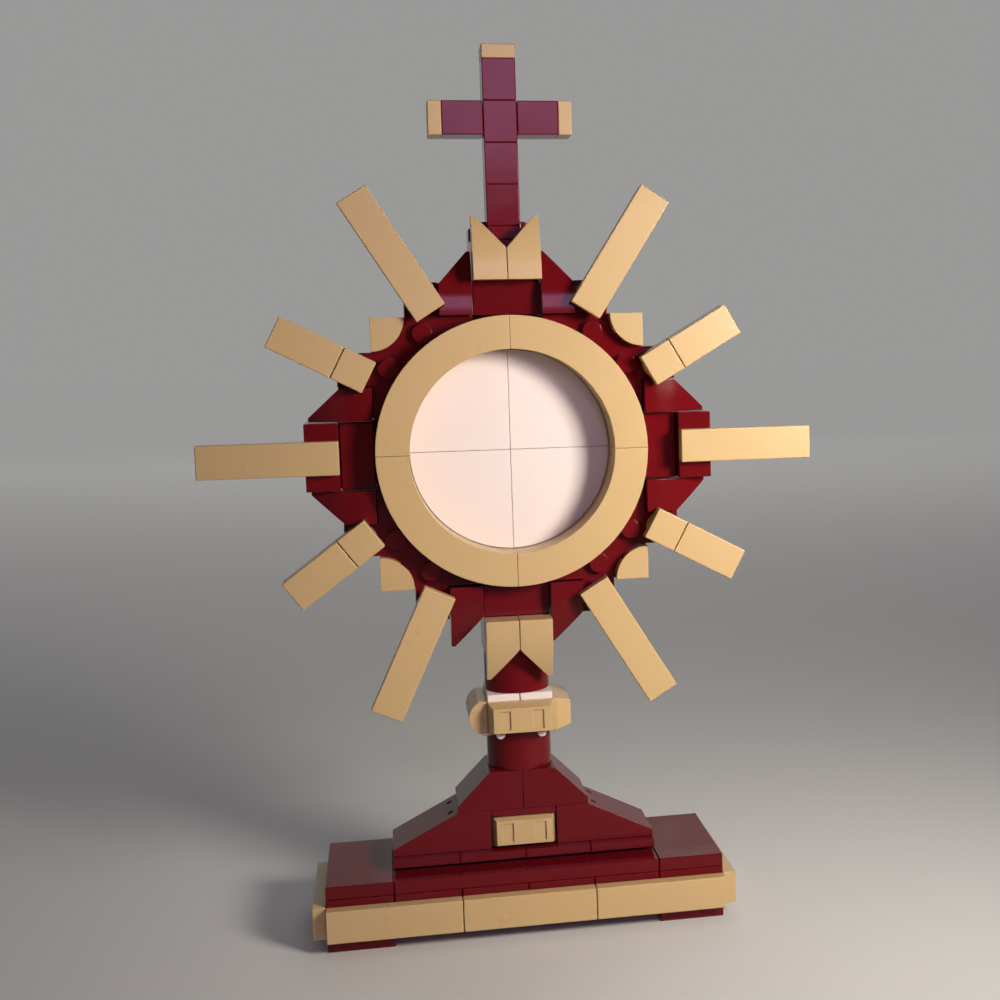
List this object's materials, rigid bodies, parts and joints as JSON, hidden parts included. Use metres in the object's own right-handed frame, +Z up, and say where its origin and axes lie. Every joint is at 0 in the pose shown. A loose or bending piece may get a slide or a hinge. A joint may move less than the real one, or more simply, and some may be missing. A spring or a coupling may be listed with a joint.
{
  "type": "brick-built monstrance",
  "caption": "Display monstrance built from studded toy bricks: long base, knobbed stem, ringed disc, turning rays and a cross.",
  "frame": {"origin": "middle of the footprint, on the surface the feet stand on", "axes": "+Z up, -Y the front that the disc and ring face, +X to the right as seen from the front"},
  "size_m": [0.1438, 0.0384, 0.2112],
  "materials": {
    "dark_red": "glossy",
    "tan": "glossy",
    "white": "glossy"
  },
  "bodies": {
    "stand": {"back_tiles": "tan", "centre_plate": "dark_red", "collar_brick": "dark_red", "collar_plates": "dark_red", "collar_wedges": "tan", "core_bricks": "dark_red", "corner_fillers": "dark_red", "corner_tiles": "tan", "deck_tiles": "dark_red", "disc_quarters": "white", "end_stud_bricks": "dark_red", "end_tiles": "tan", "flank_plates": "dark_red", "front_tiles": "tan", "head_arm_plates": "dark_red", "head_back_plate": "dark_red", "head_bottom_bracket": "dark_red", "head_rear_plates": "dark_red", "head_top_bracket": "dark_red", "knob_bars": "tan", "knob_bricks": "white", "ledge_tiles": "dark_red", "left_foot": "dark_red", "level_flanks": "dark_red", "long_side_stud_bricks": "dark_red", "lower_block": "dark_red", "lower_slopes": "dark_red", "neck_brick": "dark_red", "neck_wedges": "tan", "niche_bars": "tan", "rail_plates": "dark_red", "ray_jumpers": "dark_red", "ray_spacers": "dark_red", "right_foot": "dark_red", "ring_bricks": "tan", "ring_tiles": "tan", "side_arm_plates": "dark_red", "side_panels": "dark_red", "stem_lower_brick": "dark_red", "stem_upper_brick": "dark_red", "upper_slopes": "dark_red", "upright_flanks": "dark_red"},
    "upper_right_long_arm": {"upper_right_long_ray": "tan"},
    "upper_right_short_arm": {"upper_right_short_plate": "tan", "upper_right_short_tiles": "tan"},
    "upper_left_long_arm": {"upper_left_long_ray": "tan"},
    "upper_left_short_arm": {"upper_left_short_plate": "tan", "upper_left_short_tiles": "tan"},
    "lower_left_long_arm": {"lower_left_long_ray": "tan"},
    "lower_left_short_arm": {"lower_left_short_plate": "tan", "lower_left_short_tiles": "tan"},
    "lower_right_long_arm": {"lower_right_long_ray": "tan"},
    "lower_right_short_arm": {"lower_right_short_plate": "tan", "lower_right_short_tiles": "tan"},
    "left_arm": {"left_ray": "tan"},
    "right_arm": {"right_ray": "tan"},
    "cross": {"cross_bricks": "dark_red", "cross_arms": "dark_red", "cross_arm_caps": "tan", "cross_top_tile": "tan"}
  },
  "joints": [
    {"name": "upper_right_long_turn", "type": "hinge", "parent": "stand", "child": "upper_right_long_arm", "pos_m": [0.02, -0.0112, 0.1528], "axis": [0, -1, 0], "range_deg": [-40, 40]},
    {"name": "upper_right_short_turn", "type": "hinge", "parent": "stand", "child": "upper_right_short_arm", "pos_m": [0.036, -0.0112, 0.1368], "axis": [0, -1, 0], "range_deg": [-25, 40]},
    {"name": "upper_left_long_turn", "type": "hinge", "parent": "stand", "child": "upper_left_long_arm", "pos_m": [-0.02, -0.0112, 0.1528], "axis": [0, -1, 0], "range_deg": [-40, 40]},
    {"name": "upper_left_short_turn", "type": "hinge", "parent": "stand", "child": "upper_left_short_arm", "pos_m": [-0.036, -0.0112, 0.1368], "axis": [0, -1, 0], "range_deg": [-40, 25]},
    {"name": "lower_left_long_turn", "type": "hinge", "parent": "stand", "child": "lower_left_long_arm", "pos_m": [-0.02, -0.0112, 0.0808], "axis": [0, -1, 0], "range_deg": [-40, 40]},
    {"name": "lower_left_short_turn", "type": "hinge", "parent": "stand", "child": "lower_left_short_arm", "pos_m": [-0.036, -0.0112, 0.0968], "axis": [0, -1, 0], "range_deg": [-25, 40]},
    {"name": "lower_right_long_turn", "type": "hinge", "parent": "stand", "child": "lower_right_long_arm", "pos_m": [0.02, -0.0112, 0.0808], "axis": [0, -1, 0], "range_deg": [-40, 40]},
    {"name": "lower_right_short_turn", "type": "hinge", "parent": "stand", "child": "lower_right_short_arm", "pos_m": [0.036, -0.0112, 0.0968], "axis": [0, -1, 0], "range_deg": [-40, 25]},
    {"name": "left_turn", "type": "hinge", "parent": "stand", "child": "left_arm", "pos_m": [-0.044, -0.0112, 0.1168], "axis": [0, -1, 0], "range_deg": [-40, 40]},
    {"name": "right_turn", "type": "hinge", "parent": "stand", "child": "right_arm", "pos_m": [0.044, -0.0112, 0.1168], "axis": [0, -1, 0], "range_deg": [-40, 40]},
    {"name": "cross_turn", "type": "hinge", "parent": "stand", "child": "cross", "pos_m": [0, -0.004, 0.1696], "axis": [0, 0, 1], "continuous": true}
  ]
}
